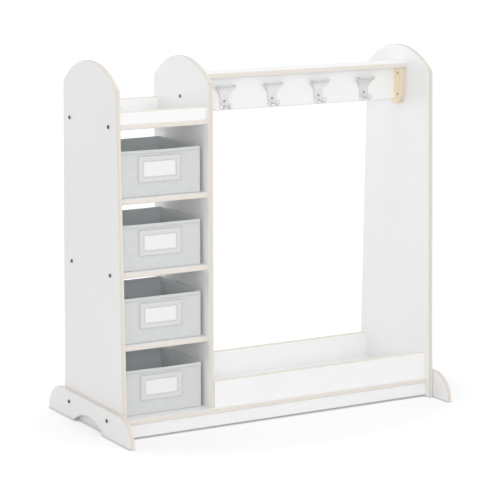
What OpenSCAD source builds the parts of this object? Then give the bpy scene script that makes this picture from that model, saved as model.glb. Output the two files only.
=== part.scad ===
// Dress-up storage unit for a child's room: three arched panels, a column of cubbies
// with fabric bins, a tray on top of it, and a clothes bay with a hat shelf, a hook rail
// and a shoe tray. X runs to the right, Y to the back, Z up. Sizes are in millimetres.
// The origin is on the floor, under the middle of the unit.

/* [Overall] */
// Width over the two side panels
unit_w = 1000; // [940:10:1100]
// Height of the arched tops above the floor
unit_h = 1008; // [920:1:1150]
// Depth of every upright panel at the shoulders of its arch
panel_top_d = 322; // [316:1:340]
// Depth of the side panels at the floor
panel_floor_d = 372; // [364:1:420]
// Rise of each arch above the shoulders
arch_rise = 65; // [40:1:80]
// Thickness of every plywood board
board_t = 15; // [14:0.5:17]
// Clear width of the bay that holds the bins
bin_bay_w = 262; // [236:1:290]

/* [Base] */
// Height of the base board's underside above the floor
base_z = 41; // [38:1:50]
// Depth of the base board
base_d = 348; // [342:1:360]
// Distance from the base board's edge back to each kick plate
kick_setback = 8; // [4:1:15]
// Gap between the kick plates and the floor
kick_gap = 4.5; // [1:0.5:6]
// Height of the lips on both sides of the shoe tray
lip_h = 74; // [40:1:100]
// Distance from the base board's edge back to each lip
lip_setback = 13; // [8:1:30]

/* [Feet] */
// Length of each foot, front to back
foot_l = 520; // [480:5:560]
// Height of each foot, which is the radius of its rounded ends too
foot_h = 77.5; // [72:0.5:90]
// Half length of the arch cut out of each foot
foot_arch_half_l = 97; // [60:1:100]
// Height of the arch cut out of each foot
foot_arch_h = 31; // [15:1:34]

/* [Shelves and tray] */
// Depth of the shelves and of the tray
shelf_d = 300; // [290:1:310]
// Distance from the top of the arches down to the floor of the tray
tray_down = 158; // [140:1:200]
// Height of the rails round the tray
tray_rail_h = 33; // [20:1:50]
// Distance from the tray's front edge back to its front rail
tray_rail_setback = 5; // [0:1:20]

/* [Hat shelf and hook rail] */
// Distance from the top of the arches down to the hat shelf's underside
hat_shelf_down = 64.5; // [50:0.5:80]
// Depth of the hat shelf
hat_shelf_d = 90; // [70:1:140]
// Height of the hook rail
hook_rail_h = 93; // [80:1:100]
// Height of the cleat that carries the rail's right end
cleat_h = 104.5; // [100:0.5:120]
// Width of the cleat's rounded lower corner
cleat_round_w = 26; // [10:1:32]
// Height of the cleat's rounded lower corner
cleat_round_h = 45; // [20:1:60]

/* [Hooks] */
// Distance from one hook to the next
hook_pitch = 152; // [110:1:160]
// Distance from the middle panel to the first hook
hook_first = 116; // [60:1:130]
// Height of the hook's screw above the lower edge of the rail
hook_screw_up = 26; // [22:1:35]
// Thickness of the cast plate of a hook
hook_plate_t = 4; // [3:0.5:5]
// Width of a hook's plate at its screw
hook_plate_w = 27; // [22:1:30]
// Width of a hook over the two tips of its yoke
hook_yoke_w = 62; // [50:1:70]
// Height of the yoke's tips above the screw
hook_yoke_up = 45; // [40:1:50]
// How far the yoke's tips lean out from the rail
hook_lean = 14; // [8:1:20]
// Diameter of the hook's lower prong
prong_d = 9; // [7:0.5:10]
// Diameter of the ball on the end of the prong
prong_ball_d = 12; // [11:0.5:14]
// Diameter of the prong's root on the plate
prong_root_d = 13.5; // [10:0.5:14]
// How far the middle of the ball stands out from the rail
prong_reach = 37; // [34:1:45]
// Depth of the prong's middle line below the screw
prong_drop = 18; // [17:0.5:19]
// Radius of the bend under the ball
prong_bend_r = 9.5; // [8:0.5:12]
// Height above the screw at which the yoke starts to spread and to lean out
hook_spread_up = 8; // [6:1:10]
// Radius of the yoke's rounded tips
hook_tip_r = 6; // [5:0.5:7]
// How far the yoke's upper edge dips between its tips
hook_dip = 8; // [6:1:12]

/* [Bolts, screws and dowels] */
// Diameter of the bolts
bolt_d = 6; // [5:0.5:6]
// Diameter of the bolt heads
bolt_head_d = 10; // [9:0.5:12]
// Thickness of the bolt heads
bolt_head_h = 2.5; // [2:0.1:3]
// Distance across the flats of the hex socket in a bolt head
bolt_socket_af = 4; // [3:0.5:5]
// Depth of the hex socket in a bolt head
bolt_socket_depth = 1.6; // [1:0.1:1.8]
// Length of each bolt inside the board that it pulls in
bolt_grip = 35; // [33:1:45]
// Distance of the bolts from the middle of the unit, front to back
bolt_y = 120; // [110:1:125]
// Distance of the middle panel's own bolts from the middle of the unit
middle_bolt_y = 90; // [60:1:105]
// Diameter of the barrel nuts
nut_d = 10; // [8:0.5:11]
// Distance from a joint to the middle of its barrel nut
nut_in = 28; // [26:0.5:29]
// Wood left beyond a barrel nut and round its ends
nut_wall = 1.5; // [1:0.25:2.5]
// Diameter of the dowels
dowel_d = 8; // [6:0.5:8]
// Length of the dowels
dowel_l = 30; // [24:1:36]
// Distance of a blind shelf's dowels from the middle of the unit
dowel_y = 95; // [60:1:110]
// Distance of the outer dowels in a row from the ends of what they hold
dowel_inset = 60; // [40:5:80]
// Wood left under a dowel in the face of a board
dowel_wall = 1; // [0.5:0.25:2]
// Diameter of the wood screws' shanks
screw_d = 3.5; // [3:0.25:4]
// Diameter of the wood screws' blunted points
screw_point_d = 0.6; // [0.4:0.1:1]
// Diameter of the wood screws' heads
screw_head_d = 6.5; // [6:0.25:8]
// Length of the screws through the hooks, below the head
hook_screw_l = 16; // [14:0.5:17]
// Height of the domed heads of the hooks' screws
screw_dome_h = 2.2; // [1.5:0.1:2.5]
// Distance from the rail's front face to the middle line of the cleat's screws
cleat_screw_out = 18.5; // [14:0.5:24]
// Distance of the cleat's upper screw below the hat shelf
cleat_screw_top = 15.5; // [10:0.5:25]
// Distance of the cleat's lower screw below the hat shelf
cleat_screw_low = 76.5; // [60:0.5:80]
// Length of the cleat's screws
cleat_screw_l = 26; // [22:1:28]
// Length of the screws into the end of the rail
rail_screw_l = 45; // [35:1:50]
// Distance of the rail's end screws from its upper and lower edge
rail_screw_edge = 22; // [15:1:30]

/* [Mirror] */
// Width of the mirror
mirror_w = 250; // [200:5:280]
// Height of the mirror's lower edge above the floor
mirror_z = 130; // [100:5:300]
// Distance from the mirror's top down from the top of the panel
mirror_below_top = 50; // [40:5:120]
// Rise of the mirror's arched top
mirror_rise = 45; // [30:1:60]
// Thickness of the mirror
mirror_t = 3; // [2:0.5:4]
// Thickness of the foam pads behind the mirror
pad_t = 1; // [0.8:0.1:2]
// Length of each foam pad
pad_l = 160; // [100:5:180]
// Height of each foam pad
pad_h = 20; // [10:1:40]
// Number of foam pads
pad_n = 5; // [3:1:6]

/* [Bins] */
// Gap on either side of a bin in the middle of its bay
bin_side_gap = 7; // [5:0.5:14]
// How far the bins are pushed to the left of their bay's middle
bin_push = 3; // [0:0.5:4]
// Depth of a bin, front to back
bin_d = 237; // [210:1:255]
// Height of a bin
bin_h = 125; // [110:1:140]
// Distance from the shelf's front edge back to the bin
bin_setback = 17; // [5:1:18]
// Thickness of a bin's stiffened fabric walls
bin_wall = 3; // [2:0.25:5]
// Thickness of a bin's lining
lining_t = 1; // [0.5:0.25:2]
// How far the lining stays below the rim
lining_down = 2; // [1:0.5:6]
// Thickness of the stiff insert on a bin's floor
insert_t = 3; // [2:0.5:4]
// Gap round the stiff insert
insert_gap = 1; // [0.5:0.25:3]
// Width of the label pocket
pocket_w = 128; // [110:1:160]
// Height of the label pocket
pocket_h = 72; // [60:1:80]
// Thickness of the label pocket
pocket_t = 1.4; // [1.2:0.1:2.5]
// Height of the label pocket's middle above the bin's bottom
pocket_up = 73; // [70:0.5:80]
// Width of the pocket's window
window_w = 94; // [70:1:100]
// Height of the pocket's window
window_h = 38.5; // [30:0.5:48]
// How far the card reaches under the pocket's edges
card_under = 4; // [2:0.5:5]
// Thickness of the card
card_t = 0.6; // [0.3:0.1:0.8]

/* [Fits] */
// Gap all round a bolt, nut, screw or dowel in its bore
bore_fit = 0.05; // [0.03:0.01:0.1]
// Gap round a bolt in a panel that it passes through
bolt_fit = 0.25; // [0.1:0.05:0.5]
// Gap under each bin
bin_fit = 0.3; // [0.2:0.05:0.5]

/* [Hidden] */
$fn = 64;
past = 1;                                    // how far a cutting shape runs past a face
seam = 20;                                   // how far an arch reaches down into its panel
half_w = unit_w / 2;
inner_x = half_w - board_t;                  // inner faces of the side panels
middle_left_x = -inner_x + bin_bay_w;        // middle panel, face towards the bins
middle_right_x = middle_left_x + board_t;    // middle panel, face towards the clothes
bin_mid_x = -inner_x + bin_bay_w / 2 - bin_push;
base_top = base_z + board_t;
shoulder_z = unit_h - arch_rise;
bin_n = 4;
tray_top = unit_h - tray_down;
shelf_pitch = (tray_top - base_top) / bin_n; // from the top of one shelf to the next
bin_w = bin_bay_w - 2 * bin_side_gap;
lip_y = base_d / 2 - lip_setback - board_t / 2;
kick_y = base_d / 2 - kick_setback - board_t / 2;
tray_front_y = -shelf_d / 2 + tray_rail_setback + board_t / 2;
tray_back_y = shelf_d / 2 - board_t / 2;
hat_shelf_z = unit_h - hat_shelf_down;
hook_rail_z = hat_shelf_z - hook_rail_h;
rail_end_x = inner_x - board_t;              // the rail stops at the cleat
rail_bolt_z = hat_shelf_z - hook_rail_h / 2;
hook_z = hook_rail_z + hook_screw_up;
rail_face_y = -board_t / 2;
cleat_front_y = -hat_shelf_d / 2;
bolt_into = board_t + bolt_grip;             // bolt through one board
foot_bolt_into = 2 * board_t + bolt_grip;    // bolt through a foot and a panel
bolt_side_z = base_z + board_t / 2;
nut_l = board_t - 2 * nut_wall;
bite = board_t / 2 - dowel_wall;             // dowel in a board's face
bin_y = -shelf_d / 2 + bin_setback + bin_d / 2;
pull_z = [tray_top, base_top + 2 * shelf_pitch];       // shelves pulled in by bolts
blind_z = [base_top + 3 * shelf_pitch, base_top + shelf_pitch];
kick_dowel_x = row(-inner_x, inner_x, 5);
lip_dowel_x = row(middle_right_x, inner_x, 3);
tray_dowel_x = row(-inner_x, middle_left_x, 2);
hat_dowel_x = row(middle_right_x, rail_end_x, 3);
hook_n = 4;
mirror_top = unit_h - mirror_below_top;

// The yoke of a hook: the middles of its tips, and the circles that hollow its sides,
// dip its upper edge and bend it away from the rail, each tangent to what it meets
hook_half_w = hook_plate_w / 2;
tip_x = hook_yoke_w / 2 - hook_tip_r;
tip_up = hook_yoke_up - hook_tip_r;
side_run = tip_x - hook_half_w;
side_rise = tip_up - hook_spread_up;
side_r = (pow(side_run, 2) + pow(side_rise, 2) - pow(hook_tip_r, 2)) / (2 * (side_run + hook_tip_r));
dip_up = hook_yoke_up - hook_dip;
dip_off = dip_up - tip_up;
dip_r = (pow(tip_x, 2) + pow(dip_off, 2) - pow(hook_tip_r, 2)) / (2 * (hook_tip_r - dip_off));
lean_up = hook_yoke_up - hook_spread_up;
lean_r = (pow(hook_lean, 2) + pow(lean_up, 2)) / (2 * hook_lean);

// Points on an arc from one angle to another
function arc(middle, r, from, to, steps = 8) =
    [for (k = [0:steps]) let (a = from + k * (to - from) / steps) middle + r * [cos(a), sin(a)]];

// Places of n dowels in a row between two ends
function row(from, to, n) =
    [for (k = [0:n - 1]) from + dowel_inset + k * (to - from - 2 * dowel_inset) / (n - 1)];

LAMINATE = "#f6f6f4";
BIRCH = "#e7d7bd";
STEEL = "#2b2b2d";
ZINC = "#c4c7ca";
NICKEL = "#cfd2d4";
LINEN = "#d5d8d9";
LINING = "#85898a";
CARD = "#f4f4f2";
MIRROR = "#bcd0d8";
FOAM = "#3a3a3c";

// ---- Fasteners. Each stands on its seat at z = 0 and points up, with its head below.

module bolt(length) {
    difference() {
        union() {
            translate([0, 0, -bolt_head_h]) cylinder(d = bolt_head_d, h = bolt_head_h);
            cylinder(d = bolt_d, h = length);
        }
        translate([0, 0, -bolt_head_h - past])
            cylinder(d = bolt_socket_af / cos(30), h = bolt_socket_depth + past, $fn = 6);
    }
}

// The bore for a bolt, from just outside its seat to a little past its end
module bolt_hole(length) {
    translate([0, 0, -past]) cylinder(r = bolt_d / 2 + bolt_fit, h = length + past + nut_wall);
}

module screw(length, domed = false) {
    head_h = (screw_head_d - screw_d) / 2;
    if (domed) {
        intersection() {
            translate([0, 0, dome_r() - screw_dome_h]) sphere(r = dome_r());
            translate([0, 0, -screw_dome_h]) cylinder(d = screw_head_d, h = screw_dome_h);
        }
        cylinder(d = screw_d, h = length - screw_d);
    } else {
        cylinder(d1 = screw_head_d, d2 = screw_d, h = head_h);
        cylinder(d = screw_d, h = length - screw_d);
    }
    translate([0, 0, length - screw_d]) cylinder(d1 = screw_d, d2 = screw_point_d, h = screw_d);
}

// Radius of the ball that a domed screw head is cut from
function dome_r() = (pow(screw_head_d / 2, 2) + pow(screw_dome_h, 2)) / (2 * screw_dome_h);

module screw_hole(length, sunk = true) {
    grown = screw_d + 2 * bore_fit;
    if (sunk) {
        cylinder(d1 = screw_head_d + 2 * bore_fit, d2 = grown, h = (screw_head_d - screw_d) / 2);
    }
    translate([0, 0, -past]) cylinder(d = grown, h = length + past + bore_fit);
}

module dowel(gap = 0) {
    translate([0, 0, -bite - gap])
        cylinder(d = dowel_d + 2 * gap, h = dowel_l + 2 * gap);
}

module barrel_nut() {
    difference() {
        translate([0, 0, -nut_l / 2]) cylinder(d = nut_d, h = nut_l);
        rotate([0, 90, 0]) cylinder(r = bolt_d / 2 + bore_fit, h = nut_d + past, center = true);
    }
}

// A blind bore for a barrel nut, open at the bottom
module nut_bore() {
    translate([0, 0, -board_t / 2 - past])
        cylinder(d = nut_d + 2 * bore_fit, h = board_t / 2 + past + nut_l / 2 + bore_fit);
}

// ---- Where the fasteners go

// Children along +X at each bolt of the left panel
module at_left_panel_bolts() {
    for (z = pull_z, y = [-bolt_y, bolt_y])
        translate([-half_w, y, z - board_t / 2]) rotate([0, 90, 0]) children();
}

// Children along -X at each bolt from the clothes bay into a shelf
module at_middle_panel_bolts() {
    for (z = pull_z, y = [-bolt_y, bolt_y])
        translate([middle_right_x, y, z - board_t / 2]) rotate([0, -90, 0]) children();
}

module at_left_foot_bolts() {
    for (y = [-bolt_y, bolt_y])
        translate([-half_w - board_t, y, bolt_side_z]) rotate([0, 90, 0]) children();
}

module at_right_foot_bolts() {
    for (y = [-bolt_y, bolt_y])
        translate([half_w + board_t, y, bolt_side_z]) rotate([0, -90, 0]) children();
}

module at_rail_bolt() {
    translate([middle_left_x, 0, rail_bolt_z]) rotate([0, 90, 0]) children();
}

// Children upwards at each bolt from under the base board into the middle panel
module at_middle_base_bolts() {
    for (y = [-middle_bolt_y, middle_bolt_y])
        translate([middle_left_x + board_t / 2, y, base_z]) children();
}

module at_shelf_nuts() {
    for (z = pull_z, y = [-bolt_y, bolt_y], x = [-inner_x + nut_in, middle_left_x - nut_in])
        translate([x, y, z - board_t / 2]) children();
}

module at_base_nuts() {
    for (y = [-bolt_y, bolt_y], x = [-inner_x + nut_in, inner_x - nut_in])
        translate([x, y, bolt_side_z]) children();
}

// The rail's barrel nut goes in from behind
module at_rail_nut() {
    translate([middle_right_x + nut_in, 0, rail_bolt_z]) rotate([90, 0, 0]) children();
}

// The middle panel's barrel nuts go in from the clothes side, over the base board's bolts
module at_middle_nuts() {
    for (y = [-middle_bolt_y, middle_bolt_y])
        translate([middle_left_x + board_t / 2, y, base_top + nut_in])
            rotate([0, -90, 0]) children();
}

// Children towards the shelves at each dowel in the left panel's face
module at_left_dowels() {
    for (z = blind_z, y = [-dowel_y, dowel_y])
        translate([-inner_x, y, z - board_t / 2]) rotate([0, 90, 0]) children();
    for (z = pull_z)
        translate([-inner_x, 0, z - board_t / 2]) rotate([0, 90, 0]) children();
    translate([-inner_x, 0, bolt_side_z]) rotate([0, 90, 0]) children();
}

module at_middle_dowels() {
    for (z = blind_z, y = [-dowel_y, dowel_y])
        translate([middle_left_x, y, z - board_t / 2]) rotate([0, -90, 0]) children();
    for (z = pull_z)
        translate([middle_left_x, 0, z - board_t / 2]) rotate([0, -90, 0]) children();
}

module at_right_dowels() {
    translate([inner_x, 0, bolt_side_z]) rotate([0, -90, 0]) children();
}

module at_lip_dowels() {
    for (x = lip_dowel_x, y = [-lip_y, lip_y])
        translate([x, y, base_top]) children();
}

module at_kick_dowels() {
    for (x = kick_dowel_x, y = [-kick_y, kick_y])
        translate([x, y, base_z]) rotate([180, 0, 0]) children();
}

module at_tray_dowels() {
    for (x = tray_dowel_x, y = [tray_front_y, tray_back_y])
        translate([x, y, tray_top]) children();
}

module at_hat_dowels() {
    for (x = hat_dowel_x)
        translate([x, 0, hat_shelf_z]) rotate([180, 0, 0]) children();
}

module at_hook(k) {
    translate([middle_right_x + hook_first + (k - 1) * hook_pitch, rail_face_y, hook_z]) children();
}

// Children along +X at each screw through the cleat into the right panel
module at_cleat_screws() {
    for (down = [cleat_screw_top, cleat_screw_low])
        translate([rail_end_x, rail_face_y - cleat_screw_out, hat_shelf_z - down])
            rotate([0, 90, 0]) children();
}

// Children along -X at each screw from behind the cleat into the rail's end
module at_rail_screws() {
    for (z = [hook_rail_z + rail_screw_edge, hat_shelf_z - rail_screw_edge])
        translate([inner_x, 0, z]) rotate([0, -90, 0]) children();
}

// ---- Boards

// A flat outline in Y and Z, raised into a board that starts at x
module board_at(x) {
    translate([x, 0, 0]) rotate([90, 0, 90]) linear_extrude(board_t) children();
}

// A rectangular board from its lowest to its highest corner
module slab(low, high) {
    translate(low) cube(high - low);
}

// The part of a circle under an arched top: half its width, its rise, and its highest point
module arch_top(half_d, rise, top) {
    arch_r = (half_d * half_d + rise * rise) / (2 * rise);
    intersection() {
        translate([0, top - arch_r]) circle(r = arch_r, $fn = 128);
        translate([-half_d, top - rise - seam]) square([2 * half_d, rise + seam + past]);
    }
}

module panel_outline(floor_d, bottom) {
    polygon([[-floor_d / 2, bottom], [floor_d / 2, bottom],
        [panel_top_d / 2, shoulder_z], [-panel_top_d / 2, shoulder_z]]);
    arch_top(panel_top_d / 2, arch_rise, unit_h);
}

module foot_outline() {
    cut_r = (pow(foot_arch_half_l, 2) + pow(foot_arch_h, 2)) / (2 * foot_arch_h);
    difference() {
        intersection() {
            union() {
                for (end = [-1, 1])
                    translate([end * (foot_l / 2 - foot_h), 0]) circle(r = foot_h, $fn = 96);
                translate([-foot_l / 2 + foot_h, 0]) square([foot_l - 2 * foot_h, foot_h]);
            }
            translate([-foot_l / 2 - past, 0]) square([foot_l + 2 * past, foot_h + past]);
        }
        translate([0, foot_arch_h - cut_r]) circle(r = cut_r, $fn = 128);
    }
}

module left_side_panel() {
    color(LAMINATE) difference() {
        board_at(-half_w) panel_outline(panel_floor_d, 0);
        at_left_panel_bolts() bolt_hole(board_t);
        at_left_foot_bolts() bolt_hole(2 * board_t);
        at_left_dowels() dowel(bore_fit);
    }
}

module middle_panel() {
    color(LAMINATE) difference() {
        board_at(middle_left_x) panel_outline(panel_top_d, base_top);
        at_middle_panel_bolts() bolt_hole(board_t);
        at_rail_bolt() bolt_hole(board_t);
        at_middle_dowels() dowel(bore_fit);
        at_middle_base_bolts() bolt_hole(bolt_into);
        at_middle_nuts() nut_bore();
    }
}

module right_side_panel() {
    color(LAMINATE) difference() {
        board_at(inner_x) panel_outline(panel_floor_d, 0);
        at_right_foot_bolts() bolt_hole(2 * board_t);
        at_right_dowels() dowel(bore_fit);
        at_cleat_screws() screw_hole(cleat_screw_l, false);
    }
}

module left_foot() {
    color(LAMINATE) difference() {
        board_at(-half_w - board_t) foot_outline();
        at_left_foot_bolts() bolt_hole(board_t);
    }
}

module right_foot() {
    color(LAMINATE) difference() {
        board_at(half_w) foot_outline();
        at_right_foot_bolts() bolt_hole(board_t);
    }
}

module base_board() {
    color(LAMINATE) difference() {
        slab([-inner_x, -base_d / 2, base_z], [inner_x, base_d / 2, base_top]);
        at_left_foot_bolts() bolt_hole(foot_bolt_into);
        at_right_foot_bolts() bolt_hole(foot_bolt_into);
        at_base_nuts() nut_bore();
        at_middle_base_bolts() bolt_hole(board_t);
        at_left_dowels() dowel(bore_fit);
        at_right_dowels() dowel(bore_fit);
        at_lip_dowels() dowel(bore_fit);
        at_kick_dowels() dowel(bore_fit);
    }
}

module kick_plate(side) {
    color(LAMINATE) difference() {
        slab([-inner_x, side * kick_y - board_t / 2, kick_gap],
            [inner_x, side * kick_y + board_t / 2, base_z]);
        at_kick_dowels() dowel(bore_fit);
    }
}

module front_kick_plate() {
    kick_plate(-1);
}

module rear_kick_plate() {
    kick_plate(1);
}

module lip(side) {
    color(LAMINATE) difference() {
        slab([middle_right_x, side * lip_y - board_t / 2, base_top],
            [inner_x, side * lip_y + board_t / 2, base_top + lip_h]);
        at_lip_dowels() dowel(bore_fit);
    }
}

module front_lip() {
    lip(-1);
}

module back_lip() {
    lip(1);
}

// A shelf of the bin column with its top at z. The pulled ones hold bolts and barrel nuts.
module shelf(z, pulled) {
    color(LAMINATE) difference() {
        slab([-inner_x, -shelf_d / 2, z - board_t], [middle_left_x, shelf_d / 2, z]);
        if (pulled) {
            at_left_panel_bolts() bolt_hole(bolt_into);
            at_middle_panel_bolts() bolt_hole(bolt_into);
            at_shelf_nuts() nut_bore();
        }
        at_left_dowels() dowel(bore_fit);
        at_middle_dowels() dowel(bore_fit);
        at_tray_dowels() dowel(bore_fit);
    }
}

module lower_shelf() {
    shelf(blind_z[1], false);
}

module centre_shelf() {
    shelf(pull_z[1], true);
}

module upper_shelf() {
    shelf(blind_z[0], false);
}

module tray_shelf() {
    shelf(pull_z[0], true);
}

module tray_rail(y) {
    color(LAMINATE) difference() {
        slab([-inner_x, y - board_t / 2, tray_top],
            [middle_left_x, y + board_t / 2, tray_top + tray_rail_h]);
        at_tray_dowels() dowel(bore_fit);
    }
}

module tray_front_rail() {
    tray_rail(tray_front_y);
}

module tray_back_rail() {
    tray_rail(tray_back_y);
}

module hat_shelf() {
    color(LAMINATE) difference() {
        slab([middle_right_x, -hat_shelf_d / 2, hat_shelf_z],
            [inner_x, hat_shelf_d / 2, hat_shelf_z + board_t]);
        at_hat_dowels() dowel(bore_fit);
    }
}

module hook_rail() {
    color(LAMINATE) difference() {
        slab([middle_right_x, rail_face_y, hook_rail_z], [rail_end_x, board_t / 2, hat_shelf_z]);
        at_rail_bolt() bolt_hole(bolt_into);
        at_rail_nut() nut_bore();
        at_hat_dowels() dowel(bore_fit);
        at_rail_screws() screw_hole(rail_screw_l, false);
        for (k = [1:hook_n])
            at_hook(k) rotate([-90, 0, 0]) screw_hole(hook_screw_l - hook_plate_t, false);
    }
}

// The cleat's outline in Y and Z: square above, with a long rounded corner in front below
module cleat_outline() {
    back = board_t / 2;
    low = hat_shelf_z - cleat_h;
    polygon(concat(
        [[back, hat_shelf_z], [cleat_front_y, hat_shelf_z]],
        [for (a = [0:10:90]) [cleat_front_y + cleat_round_w * (1 - cos(a)),
            low + cleat_round_h * (1 - sin(a))]],
        [[back, low]]));
}

module rail_cleat() {
    color(BIRCH) difference() {
        board_at(rail_end_x) cleat_outline();
        at_cleat_screws() screw_hole(cleat_screw_l);
        at_rail_screws() screw_hole(rail_screw_l);
    }
}

// ---- Coat hooks. The screw is at the local origin, on the rail's face; -Y is outwards.

// Seen from the front: a round lower end, hollow sides, rounded tips and a dipped upper edge
module hook_outline() {
    lower = [0, hook_half_w - hook_screw_up];
    side = [hook_half_w + side_r, hook_spread_up];
    tip = [tip_x, tip_up];
    dip = [0, dip_up + dip_r];
    side_end = atan2(tip[1] - side[1], tip[0] - side[0]);
    dip_end = atan2(dip[1] - tip[1], dip[0] - tip[0]);
    right = concat(
        arc(lower, hook_half_w, -90, 0),
        arc(side, side_r, 180, side_end),
        arc(tip, hook_tip_r, side_end - 180, dip_end),
        arc(dip, dip_r, dip_end - 180, -90));
    left = [for (k = [len(right) - 2:-1:1]) [-right[k][0], right[k][1]]];
    polygon(concat(right, left));
}

// The plate's section in Y and Z: upright below, and bending out over the spread
module hook_section() {
    middle = [-lean_r, hook_spread_up];
    front_r = lean_r - hook_plate_t;
    bend = asin((lean_up + past) / front_r);
    polygon(concat(
        [[0, -hook_screw_up - past]],
        arc(middle, lean_r, 0, bend),
        arc(middle, front_r, bend, 0),
        [[-hook_plate_t, -hook_screw_up - past]]));
}

module hook_prong() {
    out = prong_reach - prong_bend_r;
    inside = hook_plate_t / 2;
    translate([0, -inside, -prong_drop]) rotate([90, 0, 0]) {
        cylinder(d = prong_d, h = out - inside);
        cylinder(d1 = prong_root_d, d2 = prong_d, h = prong_d);
    }
    translate([0, -out, -prong_drop + prong_bend_r]) rotate([0, 90, 180])
        rotate_extrude(angle = 90) translate([prong_bend_r, 0]) circle(d = prong_d);
    translate([0, -prong_reach, -prong_drop + prong_bend_r]) sphere(d = prong_ball_d);
}

module hook(k) {
    color(NICKEL) at_hook(k) difference() {
        union() {
            intersection() {
                rotate([90, 0, 0])
                    linear_extrude(hook_plate_t + hook_lean + hook_plate_t) hook_outline();
                translate([-hook_yoke_w, 0, 0]) rotate([90, 0, 90])
                    linear_extrude(2 * hook_yoke_w) hook_section();
            }
            hook_prong();
        }
        translate([0, -hook_plate_t, 0]) rotate([-90, 0, 0]) screw_hole(hook_plate_t + past, false);
    }
}

module hook_1() {
    hook(1);
}

module hook_2() {
    hook(2);
}

module hook_3() {
    hook(3);
}

module hook_4() {
    hook(4);
}

// ---- Groups of fasteners

module hook_screws() {
    color(STEEL) for (k = [1:hook_n])
        at_hook(k) translate([0, -hook_plate_t, 0]) rotate([-90, 0, 0]) screw(hook_screw_l, true);
}

module cleat_screws() {
    color(STEEL) at_cleat_screws() screw(cleat_screw_l);
}

module rail_end_screws() {
    color(STEEL) at_rail_screws() screw(rail_screw_l);
}

module left_panel_bolts() {
    color(STEEL) at_left_panel_bolts() bolt(bolt_into);
}

module middle_panel_bolts() {
    color(STEEL) at_middle_panel_bolts() bolt(bolt_into);
}

module middle_panel_base_bolts() {
    color(STEEL) at_middle_base_bolts() bolt(bolt_into);
}

module rail_bolt() {
    color(STEEL) at_rail_bolt() bolt(bolt_into);
}

module foot_bolts() {
    color(STEEL) at_left_foot_bolts() bolt(foot_bolt_into);
    color(STEEL) at_right_foot_bolts() bolt(foot_bolt_into);
}

module barrel_nuts() {
    color(ZINC) {
        at_shelf_nuts() barrel_nut();
        at_base_nuts() barrel_nut();
        at_rail_nut() barrel_nut();
        at_middle_nuts() barrel_nut();
    }
}

module shelf_dowels() {
    color(BIRCH) {
        at_left_dowels() dowel();
        at_middle_dowels() dowel();
        at_right_dowels() dowel();
    }
}

module lip_dowels() {
    color(BIRCH) at_lip_dowels() dowel();
}

module kick_plate_dowels() {
    color(BIRCH) at_kick_dowels() dowel();
}

module tray_rail_dowels() {
    color(BIRCH) at_tray_dowels() dowel();
}

module hat_shelf_dowels() {
    color(BIRCH) at_hat_dowels() dowel();
}

// ---- Mirror, on foam pads on the right panel's outer face

module dress_mirror() {
    color(MIRROR) translate([half_w + pad_t, 0, 0]) rotate([90, 0, 90]) linear_extrude(mirror_t) {
        translate([-mirror_w / 2, mirror_z]) square([mirror_w, mirror_top - mirror_rise - mirror_z]);
        arch_top(mirror_w / 2, mirror_rise, mirror_top);
    }
}

module mirror_pads() {
    first = mirror_z + 2 * pad_h;
    last = mirror_top - mirror_rise - pad_h;
    color(FOAM) for (k = [0:pad_n - 1])
        translate([half_w, -pad_l / 2, first + k * (last - first - pad_h) / (pad_n - 1)])
            cube([pad_t, pad_l, pad_h]);
}

// ---- Bins. Bin 1 is the highest one. Local origin: under the middle of the bin.

module at_bin(k) {
    translate([bin_mid_x, bin_y, base_top + (bin_n - k) * shelf_pitch + bin_fit]) children();
}

// A box that is open above: its outside, its walls, and the thickness of its floor
module tub(size, wall, floor_t) {
    difference() {
        translate([-size[0] / 2, -size[1] / 2, 0]) cube(size);
        translate([-size[0] / 2 + wall, -size[1] / 2 + wall, floor_t])
            cube([size[0] - 2 * wall, size[1] - 2 * wall, size[2]]);
    }
}

module bin_body(k) {
    color(LINEN) at_bin(k) tub([bin_w, bin_d, bin_h], bin_wall, bin_wall);
}

module bin_lining(k) {
    color(LINING) at_bin(k) translate([0, 0, bin_wall])
        tub([bin_w - 2 * bin_wall, bin_d - 2 * bin_wall, bin_h - bin_wall - lining_down],
            lining_t, lining_t);
}

module bin_insert(k) {
    in = bin_wall + lining_t + insert_gap;
    color(LINING) at_bin(k) translate([-bin_w / 2 + in, -bin_d / 2 + in, bin_wall + lining_t])
        cube([bin_w - 2 * in, bin_d - 2 * in, insert_t]);
}

// The card's slot is open at the pocket's upper edge, so that the card can be changed
module bin_label_pocket(k) {
    slot_w = window_w + 2 * card_under + 2 * bin_fit;
    slot_h = window_h + card_under + bin_fit;
    color(LINEN) at_bin(k) translate([0, -bin_d / 2, pocket_up]) difference() {
        translate([-pocket_w / 2, -pocket_t, -pocket_h / 2]) cube([pocket_w, pocket_t, pocket_h]);
        translate([-window_w / 2, -pocket_t - past, -window_h / 2])
            cube([window_w, pocket_t + 2 * past, window_h]);
        translate([-slot_w / 2, -card_t, window_h / 2 - slot_h])
            cube([slot_w, card_t + past, pocket_h]);
    }
}

module bin_card(k) {
    card_w = window_w + 2 * card_under;
    card_h = window_h + 2 * card_under;
    color(CARD) at_bin(k) translate([-card_w / 2, -bin_d / 2 - card_t, pocket_up - card_h / 2])
        cube([card_w, card_t, card_h]);
}

// ---- Draw one node, or all of them

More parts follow.
